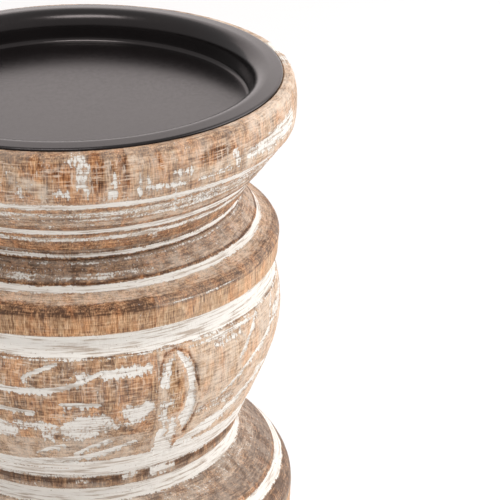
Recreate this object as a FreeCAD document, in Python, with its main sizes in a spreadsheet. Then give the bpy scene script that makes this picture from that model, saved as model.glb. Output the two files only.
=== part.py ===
import FreeCAD, Part
import math
import os

import Sketcher

# A turned wooden pillar-candle stick with a lift-out metal pan. Four turned sections (cup, upper bulb, lower
# bulb, base) are each glued up from four quarter blocks, stacked on spigots and pulled together by a threaded
# tie rod with a nut and washer at each end. A felt pad closes the foot.
# Frame: +Z up, origin on the table at the middle of the foot. Millimetres. Depths are measured down from the
# lip of the cup.

SHEET = "Dimensions"
QUARTERS = 4
QUARTER_TURN = 360 / QUARTERS
FULL_TURN = 360

DIMENSIONS = [
    # the whole stack
    ("lip_height", 239.2, "cup lip above the table"),
    ("pad_thickness", 2.0, "felt under the foot"),
    ("pad_radius", 70.5, "felt disc"),
    ("bore_radius", 4.6, "hole for the tie rod through every section"),
    ("spigot_radius", 20.0, "turned spigot on top of a section"),
    ("spigot_height", 5.0, "how far the spigot stands up"),
    ("spigot_gap", 0.2, "room for glue round and above a spigot"),
    ("groove_depth", 1.3, "depth of a turned groove"),
    ("crease_depth", 0.4, "depth of a fine turned line"),
    ("hollow_arc", 3.0, "radius of the hollow under a collar"),
    ("shoulder_cove_arc", 2.4, "radius of the narrow cove in a sloping shoulder"),
    # candle pan, pressed from sheet
    ("pan_radius", 56.25, "outer edge of the flange"),
    ("pan_sheet", 0.8, "sheet thickness"),
    ("pan_edge_rise", 0.4, "flange's outer edge above the lip"),
    ("pan_crown_rise", 0.8, "flange's crown above the lip"),
    ("pan_land", 1.0, "flat under the flange's edge that sits on the wood"),
    ("pan_crown_run", 1.8, "from the land to the crown"),
    ("pan_crown_arc", 5.0, "radius of the flange's curved outer edge"),
    ("pan_shoulder_arc", 3.5, "radius where the flange turns down into the well"),
    ("pan_well_radius", 47.9, "inside of the well"),
    ("pan_depth", 8.0, "well floor below the lip"),
    ("pan_corner_arc", 1.5, "inside corner between wall and floor"),
    # cup
    ("pan_gap", 0.35, "between the flange and the rebate"),
    ("well_gap", 0.6, "between the pan's wall and the wood"),
    ("recess_depth", 10.2, "floor of the cup's recess"),
    ("recess_chamfer", 1.6, "chamfer that clears the pan's rounded shoulder"),
    ("nut_recess_radius", 13.5, "counterbore for nut and washer"),
    ("nut_recess_depth", 19.6, "its floor below the lip"),
    ("cup_radius", 60.0, "widest point of the rim band"),
    ("cup_edge_inset", 0.6, "how far the band's edges stand inside it"),
    ("cup_band_arc", 26.4, "radius of the band's slight bulge"),
    ("cup_lip_run", 1.5, "flat lip outside the rebate"),
    ("cup_lip_drop", 1.7, "rounding at the top of the band"),
    ("cup_lip_arc", 1.9, "radius of that rounding"),
    ("cup_band_depth", 12.9, "lower edge of the rim band"),
    ("cup_ridge_radius", 57.4, "start of the first ridge"),
    ("cup_ridge_depth", 15.2, "its depth"),
    ("cup_crease_at", 18.4, "fine line in the first ridge"),
    ("cup_groove_1", 22.9, "arris above the first groove"),
    ("cup_groove_2", 30.4, "arris above the second groove"),
    ("cup_taper", 0.735, "radius lost per millimetre of depth"),
    ("cup_groove_width", 2.1, "height of each groove"),
    ("cup_depth", 34.5, "joint between cup and upper bulb"),
    ("cup_neck_radius", 44.7, "foot of the cup"),
    # upper bulb
    ("upper_top_radius", 44.4, "edge of the flat top"),
    ("upper_arris_radius", 49.1, "end of the sloping shoulder"),
    ("upper_arris_depth", 39.4, "its depth"),
    ("upper_cove_radius", 53.3, "outer end of the cove"),
    ("upper_cove_depth", 42.4, "its depth"),
    ("upper_cove_arc", 6.0, "radius of the cove"),
    ("upper_shoulder_arc", 3.4, "rounding of the shoulder"),
    ("upper_band_radius", 55.4, "upright band"),
    ("upper_band_top", 45.6, "top of the band"),
    ("upper_band_bottom", 51.1, "bottom of the band"),
    ("upper_groove_bottom", 58.0, "bottom of the wide groove"),
    ("upper_belly_arc", 35.0, "radius of the belly curve"),
    ("upper_belly_end_radius", 53.5, "where the belly turns into the taper"),
    ("upper_belly_end", 78.6, "its depth"),
    ("upper_crease_depth", 91.4, "line above the foot band"),
    ("upper_crease_radius", 48.1, "radius there"),
    ("upper_foot_radius", 45.9, "bottom edge"),
    ("upper_depth", 97.4, "joint between upper and lower bulb"),
    # lower bulb
    ("lower_neck_radius", 43.9, "collar under the upper bulb"),
    ("lower_collar_depth", 102.2, "bottom of the collar"),
    ("lower_hollow_radius", 42.5, "bottom of the hollow"),
    ("lower_slope_depth", 105.9, "start of the sloping shoulder"),
    ("lower_arris_radius", 53.8, "end of the slope"),
    ("lower_arris_depth", 113.7, "its depth"),
    ("lower_cove_radius", 56.0, "outer end of the narrow cove"),
    ("lower_cove_depth", 116.2, "its depth"),
    ("lower_shoulder_arc", 9.0, "rounding of the shoulder"),
    ("lower_band_radius", 59.3, "upright band"),
    ("lower_band_top", 124.4, "top of the band"),
    ("lower_band_bottom", 131.6, "bottom of the band"),
    ("lower_groove_bottom", 138.9, "bottom of the wide groove"),
    ("lower_belly_arc", 42.0, "radius of the belly curve"),
    ("lower_belly_end_radius", 57.0, "where the belly turns into the taper"),
    ("lower_belly_end", 161.0, "its depth"),
    ("lower_crease_depth", 174.0, "line above the foot band"),
    ("lower_crease_radius", 51.6, "radius there"),
    ("lower_foot_radius", 49.2, "bottom edge"),
    ("lower_depth", 180.4, "joint between lower bulb and base"),
    # base
    ("base_neck_radius", 47.2, "collar under the lower bulb"),
    ("base_collar_depth", 185.4, "bottom of the collar"),
    ("base_hollow_radius", 45.8, "bottom of the hollow"),
    ("base_slope_depth", 189.2, "start of the sloping shoulder"),
    ("base_arris_radius", 64.2, "end of the slope"),
    ("base_arris_depth", 201.0, "its depth"),
    ("base_cove_radius", 66.6, "outer end of the narrow cove"),
    ("base_cove_depth", 203.4, "its depth"),
    ("base_shoulder_arc", 10.0, "rounding of the shoulder"),
    ("base_band_radius", 72.2, "upright band"),
    ("base_band_top", 211.6, "top of the band"),
    ("base_band_bottom", 221.0, "bottom of the band"),
    ("base_groove_bottom", 225.0, "bottom of the groove"),
    ("base_foot_radius", 74.6, "widest point of the foot"),
    ("base_foot_arc", 6.5, "rounding of the foot moulding"),
    ("base_bevel", 1.2, "bevel at the bottom edge"),
    ("foot_recess_radius", 13.5, "counterbore for the lower nut"),
    ("foot_recess_height", 14.0, "its depth up into the base"),
    # tie rod and its fasteners
    ("rod_radius", 4.0, "M8 threaded rod"),
    ("rod_gap", 0.05, "between rod and nut or washer"),
    ("rod_stand_out", 1.6, "rod beyond each nut"),
    ("rod_chamfer", 0.8, "chamfer on the rod's ends"),
    ("nut_corner_radius", 7.5, "centre to corner of the hexagon"),
    ("nut_height", 6.5, "nut thickness"),
    ("nut_face_radius", 6.6, "chamfered face of the nut"),
    ("nut_cone_radius", 12.1, "foot of the cone that chamfers the nut"),
    ("washer_radius", 12.0, "washer's outside"),
    ("washer_thickness", 1.6, "washer's thickness"),
    # how each section's glue lines are turned, in degrees from +X
    ("cup_turn", 17.0, "glue line of the cup"),
    ("upper_turn", 25.3, "glue line of the upper bulb"),
    ("lower_turn", 58.0, "glue line of the lower bulb"),
    ("base_turn", 35.0, "glue line of the base"),
]


class Size:
    """A length that carries its number and the expression that gives it."""

    def __init__(self, value, text):
        self.value = value
        self.text = text

    def __add__(self, other):
        return Size(self.value + other.value, f"({self.text} + {other.text})")

    def __sub__(self, other):
        return Size(self.value - other.value, f"({self.text} - {other.text})")

    def __mul__(self, other):
        return Size(self.value * other.value, f"({self.text} * {other.text})")


def plain(number):
    return Size(number, str(number))


doc = FreeCAD.newDocument("candlestick")
sheet = doc.addObject("Spreadsheet::Sheet", SHEET)
size = {}
for row, (alias, value, note) in enumerate(DIMENSIONS, start=1):
    sheet.set(f"A{row}", note)
    sheet.set(f"B{row}", str(value))
    sheet.setAlias(f"B{row}", alias)
    size[alias] = Size(value, f"{SHEET}.{alias}")
doc.recompute()

ON_AXIS = plain(0)
HALF = plain(0.5)
LIP = size["lip_height"]
FOOT = size["pad_thickness"]


def at(depth):
    """Height of a point that lies that far below the lip."""
    return LIP - depth


# ---- outlines: each is a list of (radius, height) corners, running anticlockwise; a third entry is the radius
# of the arc that leads to the corner, positive where the wood bulges and negative where it is hollowed


def pan_outline():
    """Pressed sheet: curved flange, rounded shoulder, upright wall, flat floor."""
    sheet_t = size["pan_sheet"]
    outer = size["pan_radius"]
    land = outer - size["pan_land"]
    crown = land - size["pan_crown_run"]
    wall = size["pan_well_radius"]
    shoulder = size["pan_shoulder_arc"]
    corner = size["pan_corner_arc"]
    edge_top = LIP + size["pan_edge_rise"]
    crown_top = LIP + size["pan_crown_rise"]
    floor = at(size["pan_depth"])
    crown_arc = size["pan_crown_arc"]
    return [
        (ON_AXIS, floor - sheet_t),
        (wall - corner, floor - sheet_t),
        (wall + sheet_t, floor + corner, corner + sheet_t),
        (wall + sheet_t, crown_top - shoulder),
        (wall + shoulder, crown_top - sheet_t, sheet_t - shoulder),
        (crown, crown_top - sheet_t),
        (land, edge_top - sheet_t, sheet_t - crown_arc),
        (outer, edge_top - sheet_t),
        (outer, edge_top - sheet_t * HALF),
        (crown, crown_top, crown_arc),
        (wall + shoulder, crown_top),
        (wall, crown_top - shoulder, shoulder),
        (wall, floor + corner),
        (wall - corner, floor, plain(0) - corner),
        (ON_AXIS, floor),
    ]


def socket(bottom):
    """The underside that takes the next section's spigot, from the bore outwards."""
    top = bottom + size["spigot_height"] + size["spigot_gap"]
    radius = size["spigot_radius"] + size["spigot_gap"]
    return [(size["bore_radius"], top), (radius, top), (radius, bottom)]


def spigot(top):
    """The top that carries a spigot, from the outside in to the bore."""
    radius = size["spigot_radius"]
    raised = top + size["spigot_height"]
    return [(radius, top), (radius, raised), (size["bore_radius"], raised)]


def cup_outline():
    """Dish with a rim band, a ridged taper under it and a stepped recess for the pan."""
    depth = size["groove_depth"]
    crease = size["crease_depth"]
    width = size["cup_groove_width"]
    taper = size["cup_taper"]
    band = size["cup_radius"] - size["cup_edge_inset"]
    rebate = size["pan_radius"] + size["pan_gap"]
    well = size["pan_well_radius"] + size["pan_sheet"] + size["well_gap"]
    rebate_floor = LIP + size["pan_edge_rise"] - size["pan_sheet"]
    bottom = at(size["cup_depth"])

    def on_taper(down):
        return size["cup_ridge_radius"] - taper * (down - size["cup_ridge_depth"])

    outline = socket(bottom) + [(size["cup_neck_radius"], bottom)]
    for arris in (size["cup_groove_2"], size["cup_groove_1"]):
        low = arris + width
        outline += [
            (on_taper(low), at(low)),
            (on_taper(low) - crease, at(low - crease)),
            (on_taper(arris) - depth, at(arris + depth * HALF)),
            (on_taper(arris), at(arris)),
        ]
    line = size["cup_crease_at"]
    return outline + [
        (on_taper(line + crease), at(line + crease)),
        (on_taper(line) - crease, at(line)),
        (on_taper(line), at(line - crease)),
        (size["cup_ridge_radius"], at(size["cup_ridge_depth"])),
        (band - depth, at(size["cup_band_depth"] + depth)),
        (band, at(size["cup_band_depth"])),
        (band, at(size["cup_lip_drop"]), size["cup_band_arc"]),
        (rebate + size["cup_lip_run"], LIP, size["cup_lip_arc"]),
        (rebate, LIP),
        (rebate, rebate_floor),
        (well + size["recess_chamfer"], rebate_floor),
        (well, rebate_floor - size["recess_chamfer"]),
        (well, at(size["recess_depth"])),
        (size["nut_recess_radius"], at(size["recess_depth"])),
        (size["nut_recess_radius"], at(size["nut_recess_depth"])),
        (size["bore_radius"], at(size["nut_recess_depth"])),
    ]


def belly(name, foot_edge):
    """From a bulb's bottom edge up the taper and over the belly to the top of its band."""
    depth = size["groove_depth"]
    crease = size["crease_depth"]
    band = size[f"{name}_band_radius"]
    line = size[f"{name}_crease_depth"]
    line_radius = size[f"{name}_crease_radius"]
    groove_low = size[f"{name}_groove_bottom"]
    groove_top = size[f"{name}_band_bottom"]
    inset = band - crease
    return [
        (size[f"{name}_foot_radius"], foot_edge),
        (line_radius - crease, at(line + crease)),
        (line_radius, at(line)),
        (size[f"{name}_belly_end_radius"], at(size[f"{name}_belly_end"])),
        (inset, at(groove_low), size[f"{name}_belly_arc"]),
        (inset - depth, at(groove_low - depth)),
        (inset - depth, at(groove_low - depth - depth)),
        (inset - depth + crease, at(groove_low - depth - depth - crease)),
        (inset - depth, at(groove_low - depth - depth - crease - crease)),
        (inset - depth, at(groove_top + depth)),
        (inset, at(groove_top)),
        (band, at(size[f"{name}_band_top"])),
    ]


def upper_outline():
    """Upper bulb: sloping shoulder, cove, upright band, wide groove, belly, taper."""
    top = at(size["cup_depth"])
    bottom = at(size["upper_depth"])
    foot_edge = bottom + size["crease_depth"]
    crease = size["crease_depth"]
    arris = size["upper_arris_radius"]
    arris_height = at(size["upper_arris_depth"])
    return (
        socket(bottom)
        + [(size["upper_foot_radius"] - crease, bottom)]
        + belly("upper", foot_edge)
        + [
            (size["upper_cove_radius"], at(size["upper_cove_depth"]), size["upper_shoulder_arc"]),
            (arris + crease, arris_height - crease, plain(0) - size["upper_cove_arc"]),
            (arris, arris_height),
            (size["upper_top_radius"], top),
        ]
        + spigot(top)
    )


def slope(name, top):
    """From the narrow cove up the sloping shoulder, over the hollow and the collar."""
    crease = size["crease_depth"]
    arris = size[f"{name}_arris_radius"]
    arris_height = at(size[f"{name}_arris_depth"])
    hollow = size[f"{name}_hollow_radius"]
    collar_height = at(size[f"{name}_collar_depth"])
    return [
        (size[f"{name}_cove_radius"], at(size[f"{name}_cove_depth"]), size[f"{name}_shoulder_arc"]),
        (arris + crease, arris_height - crease, plain(0) - size["shoulder_cove_arc"]),
        (arris, arris_height),
        (hollow, at(size[f"{name}_slope_depth"])),
        (size[f"{name}_neck_radius"] - crease, collar_height, plain(0) - size["hollow_arc"]),
        (size[f"{name}_neck_radius"], top),
    ]


def lower_outline():
    """Lower bulb: the same turning as the upper one, larger, under a short collar."""
    top = at(size["upper_depth"])
    bottom = at(size["lower_depth"])
    crease = size["crease_depth"]
    return (
        socket(bottom)
        + [(size["lower_foot_radius"] - crease, bottom)]
        + belly("lower", bottom + crease)
        + slope("lower", top)
        + spigot(top)
    )


def base_outline():
    """Base: collar, sloping shoulder, upright band, groove and a rounded foot moulding."""
    depth = size["groove_depth"]
    crease = size["crease_depth"]
    bevel = size["base_bevel"]
    foot = size["base_foot_radius"]
    band = size["base_band_radius"]
    groove_top = size["base_band_bottom"]
    groove_low = size["base_groove_bottom"]
    recess = FOOT + size["foot_recess_height"]
    top = at(size["lower_depth"])
    return (
        [
            (size["bore_radius"], recess),
            (size["foot_recess_radius"], recess),
            (size["foot_recess_radius"], FOOT),
            (foot - bevel, FOOT),
            (foot, FOOT + bevel),
            (foot, at(groove_low + size["base_foot_arc"])),
            (band - crease, at(groove_low), size["base_foot_arc"]),
            (band - depth, at(groove_low - depth)),
            (band - depth, at(groove_top + depth)),
            (band - crease, at(groove_top)),
            (band, at(size["base_band_top"])),
        ]
        + slope("base", top)
        + spigot(top)
    )


def washer_outline(bottom):
    inner = size["rod_radius"] + size["rod_gap"]
    top = bottom + size["washer_thickness"]
    outer = size["washer_radius"]
    return [(inner, bottom), (outer, bottom), (outer, top), (inner, top)]


# ---- drawing and turning


def arc_between(start, end, radius):
    """Arc of that radius from start to end, and its ends in order; positive puts the centre on the left."""
    chord = end - start
    middle = (start + end) * 0.5
    reach = math.sqrt(max(radius * radius - chord.Length**2 / 4, 0.0))
    left = FreeCAD.Vector(-chord.y, chord.x, 0).normalize()
    turns_left = radius > 0
    centre = middle + left * (reach if turns_left else -reach)
    circle = Part.Circle(centre, FreeCAD.Vector(0, 0, 1), abs(radius))
    first, last = (start, end) if turns_left else (end, start)
    angles = [math.atan2(p.y - centre.y, p.x - centre.x) for p in (first, last)]
    if angles[1] < angles[0]:
        angles[1] += 2 * math.pi
    return Part.ArcOfCircle(circle, *angles), (1, 2) if turns_left else (2, 1)


def draw_outline(sketch, outline):
    """Draws the closed outline and binds each corner and each arc's radius to the sheet."""
    corners = [FreeCAD.Vector(step[0].value, step[1].value, 0) for step in outline]
    ends = []
    for i, step in enumerate(outline):
        start, end = corners[i - 1], corners[i]
        if len(step) == 3:
            edge, order = arc_between(start, end, step[2].value)
        else:
            edge, order = Part.LineSegment(start, end), (1, 2)
        ends.append((sketch.addGeometry(edge, False), *order))
    for i, (edge, first, last) in enumerate(ends):
        following, its_first, _ = ends[(i + 1) % len(ends)]
        sketch.addConstraint(Sketcher.Constraint("Coincident", edge, last, following, its_first))
    for i, step in enumerate(outline):
        edge, _, last = ends[i]
        if step[0].value == 0:
            sketch.addConstraint(Sketcher.Constraint("PointOnObject", edge, last, -2))
        else:
            bind(sketch, Sketcher.Constraint("DistanceX", -1, 1, edge, last, step[0].value), step[0])
        bind(sketch, Sketcher.Constraint("DistanceY", -1, 1, edge, last, step[1].value), step[1])
        if len(step) == 3:
            radius = step[2] if step[2].value > 0 else plain(0) - step[2]
            bind(sketch, Sketcher.Constraint("Radius", edge, radius.value), radius)


def bind(sketch, constraint, length):
    index = sketch.addConstraint(constraint)
    sketch.setExpression(f"Constraints[{index}]", length.text)


def plane(body, role):
    return next(o for o in body.Origin.OriginFeatures if o.Role == role)


def turned(label, outline, angle=FULL_TURN, turn=None, quarter=0):
    """A body turned from a half outline, or a quarter block of one, swung round to its place."""
    body = doc.addObject("PartDesign::Body", label)
    body.Label = label
    sketch = body.newObject("Sketcher::SketchObject", f"{label}_outline")
    sketch.AttachmentSupport = [(plane(body, "XZ_Plane"), "")]
    sketch.MapMode = "FlatFace"
    draw_outline(sketch, outline)
    revolution = body.newObject("PartDesign::Revolution", f"{label}_turning")
    revolution.Profile = sketch
    revolution.ReferenceAxis = (sketch, ["V_Axis"])
    revolution.Angle = angle
    body.Tip = revolution
    if turn is not None:
        body.Placement.Rotation = FreeCAD.Rotation(FreeCAD.Vector(0, 0, 1), 1)
        body.setExpression("Placement.Rotation.Angle", f"{turn.text} + {quarter * QUARTER_TURN}")
    return body


def block_set(name, outline, turn):
    """The four quarter blocks that a section is glued up from."""
    return [
        turned(f"{name}_block_{k + 1}", outline, QUARTER_TURN, turn, k) for k in range(QUARTERS)
    ]


def sized(kind, label, **lengths):
    """A Part primitive whose sizes are bound to the sheet."""
    solid = doc.addObject(f"Part::{kind}", label)
    for name, length in lengths.items():
        solid.setExpression(name.replace("_z", "Placement.Base.z"), length.text)
    return solid


def tie_rod(bottom, top):
    """Threaded rod, kept as a plain bar with chamfered ends."""
    body = doc.addObject("PartDesign::Body", "tie_rod")
    body.Label = "tie_rod"
    sketch = body.newObject("Sketcher::SketchObject", "tie_rod_section")
    sketch.AttachmentSupport = [(plane(body, "XY_Plane"), "")]
    sketch.MapMode = "FlatFace"
    origin = FreeCAD.Vector(0, 0, 0)
    circle = Part.Circle(origin, FreeCAD.Vector(0, 0, 1), size["rod_radius"].value)
    edge = sketch.addGeometry(circle, False)
    sketch.addConstraint(Sketcher.Constraint("Coincident", edge, 3, -1, 1))
    bind(sketch, Sketcher.Constraint("Radius", edge, size["rod_radius"].value), size["rod_radius"])
    pad = body.newObject("PartDesign::Pad", "tie_rod_bar")
    pad.Profile = sketch
    pad.setExpression("Length", (top - bottom).text)
    doc.recompute()
    chamfer = body.newObject("PartDesign::Chamfer", "tie_rod_ends")
    ends = [f"Edge{i}" for i, e in enumerate(pad.Shape.Edges, start=1) if e.isClosed()]
    chamfer.Base = (pad, ends)
    chamfer.setExpression("Size", size["rod_chamfer"].text)
    body.Tip = chamfer
    body.setExpression("Placement.Base.z", bottom.text)
    return body


def hex_nut(label, bottom, face_up):
    """Hexagon nut with a plain bore; its outer face is chamfered by a cone."""
    height = size["nut_height"]
    prism = doc.addObject("Part::Prism", f"{label}_hexagon")
    prism.Polygon = 6
    prism.setExpression("Circumradius", size["nut_corner_radius"].text)
    prism.setExpression("Height", height.text)
    prism.setExpression("Placement.Base.z", bottom.text)
    wide, narrow = size["nut_cone_radius"], size["nut_face_radius"]
    low, high = (wide, narrow) if face_up else (narrow, wide)
    cone = sized("Cone", f"{label}_cone", Radius1=low, Radius2=high, Height=height, _z=bottom)
    faced = doc.addObject("Part::Common", f"{label}_faced")
    faced.Base, faced.Tool = prism, cone
    bore_radius = size["rod_radius"] + size["rod_gap"]
    bore = sized("Cylinder", f"{label}_bore", Radius=bore_radius, Height=height, _z=bottom)
    nut = doc.addObject("Part::Cut", label)
    nut.Base, nut.Tool = faced, bore
    nut.Label = label
    return nut


def build():
    nodes = [turned("candle_pan", pan_outline())]
    nodes += block_set("cup", cup_outline(), size["cup_turn"])
    nodes += block_set("upper_bulb", upper_outline(), size["upper_turn"])
    nodes += block_set("lower_bulb", lower_outline(), size["lower_turn"])
    nodes += block_set("base", base_outline(), size["base_turn"])

    washer = size["washer_thickness"]
    nut = size["nut_height"]
    upper_seat = at(size["nut_recess_depth"])
    lower_seat = FOOT + size["foot_recess_height"]
    upper_nut = upper_seat + washer
    lower_nut = lower_seat - washer - nut
    rod_top = upper_nut + nut + size["rod_stand_out"]
    rod_bottom = lower_nut - size["rod_stand_out"]
    nodes += [
        tie_rod(rod_bottom, rod_top),
        turned("upper_washer", washer_outline(upper_seat)),
        hex_nut("upper_nut", upper_nut, face_up=True),
        turned("lower_washer", washer_outline(lower_seat - washer)),
        hex_nut("lower_nut", lower_nut, face_up=False),
        sized("Cylinder", "foot_pad", Radius=size["pad_radius"], Height=FOOT),
    ]
    return nodes


def check(nodes):
    """Stops if any object failed or any node isn't one valid closed solid."""
    for item in doc.Objects:
        if "Invalid" in item.State or "Error" in item.State:
            raise RuntimeError(f"{item.Label} failed: {item.State}")
    for node in nodes:
        shape = node.Shape
        if shape.isNull() or not shape.isValid() or len(shape.Solids) != 1:
            raise RuntimeError(f"{node.Label} is not one valid solid")


def main():
    nodes = build()
    doc.recompute()
    check(nodes)
    os.makedirs("parts", exist_ok=True)
    for node in nodes:
        node.Shape.exportStep(f"parts/{node.Label}.step")
        box = node.Shape.optimalBoundingBox()
        print(
            f"{node.Label:22s} volume {node.Shape.Volume / 1000:8.2f} cm3  "
            f"z {box.ZMin:7.2f} to {box.ZMax:7.2f}  widest {max(box.XLength, box.YLength):7.2f}"
        )


main()
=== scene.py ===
import itertools
import math
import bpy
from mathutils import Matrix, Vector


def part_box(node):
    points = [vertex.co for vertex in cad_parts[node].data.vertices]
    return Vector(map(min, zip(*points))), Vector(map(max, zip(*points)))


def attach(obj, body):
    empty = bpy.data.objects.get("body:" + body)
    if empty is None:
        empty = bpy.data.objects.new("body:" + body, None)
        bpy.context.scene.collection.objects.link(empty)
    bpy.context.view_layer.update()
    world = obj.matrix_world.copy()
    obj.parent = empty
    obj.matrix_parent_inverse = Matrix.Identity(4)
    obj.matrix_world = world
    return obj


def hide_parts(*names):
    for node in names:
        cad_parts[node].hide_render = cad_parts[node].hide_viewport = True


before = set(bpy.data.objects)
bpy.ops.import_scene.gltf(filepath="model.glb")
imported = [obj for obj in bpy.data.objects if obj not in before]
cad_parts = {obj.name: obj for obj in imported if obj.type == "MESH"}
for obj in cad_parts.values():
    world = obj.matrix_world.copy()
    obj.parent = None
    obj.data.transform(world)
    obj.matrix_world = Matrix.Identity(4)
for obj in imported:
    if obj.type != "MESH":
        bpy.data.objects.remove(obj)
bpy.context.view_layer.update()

from types import SimpleNamespace

import bpy
import numpy as np
from mathutils import Vector

# A turned, whitewashed and worn-back wooden candlestick. Each quarter block of wood is a closed wedge whose
# outer face carries the turning, gouges, scrapes and glue line as real shape. Stripes and marks say where
# paint lies, how brown the wood is and where shade is painted, kept as point attributes that one wood
# material reads.
# Lengths are millimetres until they reach a mesh. Depth is measured down from the cup's lip, and an angle
# called phi is measured round the stick from the front (-Y), positive to the right (+X).

MM = 0.001
QUARTER = 90.0
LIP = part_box("cup_block_1")[1].z / MM


def depth_of(node, end):
    """Depth of a node's lowest (0) or highest (1) point."""
    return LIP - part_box(node)[end].z / MM


CUP_END = depth_of("cup_block_1", 0)
UPPER_END = depth_of("upper_bulb_block_1", 0)
LOWER_END = depth_of("lower_bulb_block_1", 0)
BASE_END = depth_of("base_block_1", 0)
NUT_SEAT = depth_of("upper_washer", 0)
FOOT_SEAT = depth_of("lower_washer", 1)
CLEARANCE = 0.2              # between a spigot and its socket
SPIGOT = CUP_END - depth_of("upper_bulb_block_1", 1)
SOCKET = SPIGOT + CLEARANCE
SPIGOT_RADIUS = 20.0
SOCKET_RADIUS = SPIGOT_RADIUS + CLEARANCE
BORE_RADIUS = 4.6
NUT_RECESS_RADIUS = 13.5
REBATE_RADIUS = 56.6         # the rebate that the pan's flange lies in
REBATE = 0.4
RECESS_RADIUS = 49.3         # the recess round the pan's well
RECESS = 10.2
RECESS_CHAMFER = 1.6
FACE_EDGE = 42.0             # radius where a block's outer face ends and its hidden joint face starts
FOOT_EDGE = 70.0             # the same under the base
HIDDEN_STEP = 3.0            # spacing of points on the hidden faces
RING = 55.0                  # radius of the ring round which turning marks are drawn

# ---------------- numbers: noise and outlines


def leanings(cells, seed):
    """A repeatable random direction for each cell corner."""
    mixed = cells[..., 0] * 73856093 ^ cells[..., 1] * 19349663 ^ cells[..., 2] * 83492791 ^ seed * 2654435
    mixed = (mixed ^ (mixed >> 13)) * 1274126177
    mixed = mixed ^ (mixed >> 15)
    return np.stack([(mixed >> shift & 1023) / 511.5 - 1 for shift in (0, 10, 20)], axis=-1)


def noise(points, scale, seed, octaves=1):
    """Smooth gradient noise, about -1 to 1. Scale is cells per unit, one number or one for each axis."""
    total = 0.0
    strength = 1.0
    for octave in range(octaves):
        place = points * (np.asarray(scale, float) * 2**octave)
        cell = np.floor(place).astype(np.int64)
        part = place - cell
        ease = part**3 * (part * (part * 6 - 15) + 10)
        for corner in itertools.product((0, 1), repeat=3):
            weight = np.prod(np.where(corner, ease, 1 - ease), axis=-1)
            lean = leanings(cell + np.array(corner), seed + octave)
            total = total + strength * weight * np.sum(lean * (part - corner), axis=-1)
        strength *= 0.5
    return total * 1.7


def smooth(low, high, value):
    """0 at low, 1 at high, smooth between."""
    part = np.clip((value - low) / (high - low), 0, 1)
    return part * part * (3 - 2 * part)


def stretch(start, end, bulge, step):
    """Points from start to end, without start; bulge is an arc's radius, positive where it swells out."""
    start, end = np.array(start), np.array(end)
    chord = end - start
    length = math.hypot(*chord)
    count = max(1, round(length / step))
    part = np.arange(1, count + 1)[:, None] / count
    if not bulge:
        return start + chord * part
    outward = np.array([chord[1], -chord[0]]) / length * math.copysign(1, bulge)
    radius = abs(bulge)
    centre = (start + end) / 2 - outward * math.sqrt(radius**2 - length**2 / 4)
    half = math.asin(length / 2 / radius)
    angle = (part * 2 - 1) * half
    return centre + radius * (outward * np.cos(angle) + chord / length * np.sin(angle))


def softened(points, width, step):
    """The same outline with its corners worn round; its ends stay where they are."""
    reach = int(3 * width / step)
    weights = np.exp(-0.5 * (np.arange(-reach, reach + 1) * step / width) ** 2)
    weights /= weights.sum()
    before = 2 * points[0] - points[reach:0:-1]
    after = 2 * points[-1] - points[-2 : -reach - 2 : -1]
    padded = np.vstack([before, points, after])
    return np.stack([np.convolve(column, weights, "valid") for column in padded.T], axis=1)


# What each stretch of the turning looks like before stripes and marks go over it.
LOOKS = ("wash", "haze", "dark", "warm", "hatch", "pore")
FINISHES = {
    # opaque white, thin white film, brown stain (painted shade in the "shadow" rows), orange, cross-hatching,
    # open pores
    "raw": (0.05, 0.15, 0.10, 0.30, 0.1, 0.3),
    "lip": (0.12, 0.20, 0.65, 0.30, 0.4, 0.2),
    "band": (0.16, 0.22, 0.30, 0.70, 1.0, 0.2),
    "white": (1.00, 0.70, 0.05, 0.30, 0.0, 0.0),
    "ridge": (0.30, 0.42, 0.35, 0.35, 0.5, 0.1),
    "brown": (0.18, 0.12, 0.62, 0.45, 0.2, 0.2),
    # painted shade: darker wood where two sections meet
    "shadow": (0.15, 0.05, 1.15, 0.20, 0.0, 0.0),
    "shoulder": (0.15, 0.22, 0.95, 0.15, 0.0, 0.1),
    "edge": (0.05, 0.04, 0.90, 0.40, 0.0, 0.1),
    "tan": (0.05, 0.04, -0.06, 0.60, 0.2, 1.0),
    "belly": (0.14, 0.20, 0.30, 0.55, 0.9, 0.2),
    "collar": (0.22, 0.20, 0.70, 0.30, 0.1, 0.2),
    "slope": (0.16, 0.26, 1.30, 0.05, 0.0, 0.0),
}
FINE = 0.05                  # spacing at which outlines are first drawn
WEAR = 0.28                  # how round the corners are worn
BLEND = 0.22                 # how far one finish runs into the next


def outline(stretches, step):
    """Rows along an outline of (radius, depth, finish, bulge), with their outward direction and finishes."""
    points = [np.array([stretches[0][:2]], float)]
    looks = [np.array([FINISHES[stretches[1][2]]])]
    for before, after in zip(stretches, stretches[1:]):
        bulge = after[3] if len(after) > 3 else 0
        part = stretch(before[:2], after[:2], bulge, FINE)
        points.append(part)
        looks.append(np.tile(FINISHES[after[2]], (len(part), 1)))
    points = softened(np.vstack(points), WEAR, FINE)
    looks = softened(np.vstack(looks), BLEND, FINE)
    run = np.concatenate([[0], np.cumsum(np.hypot(*np.diff(points, axis=0).T))])
    rows = np.linspace(0, run[-1], round(run[-1] / step) + 1)
    radius, depth = (np.interp(rows, run, points[:, axis]) for axis in (0, 1))
    slope_r, slope_d = np.gradient(radius, rows), np.gradient(depth, rows)
    size = np.hypot(slope_r, slope_d)
    return SimpleNamespace(
        radius=radius,
        depth=depth,
        out=slope_d / size,
        up=slope_r / size,
        rows=rows,
        run=run,
        looks=looks,
    )


def plain_outline(corners, step):
    """Points along straight stretches, every corner kept, the last point left out."""
    parts = [np.array([corners[0]], float)]
    parts += [stretch(a, b, 0, step) for a, b in zip(corners, corners[1:])]
    return np.vstack(parts)[:-1]


# ---------------- what is painted, rubbed and cut


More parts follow.
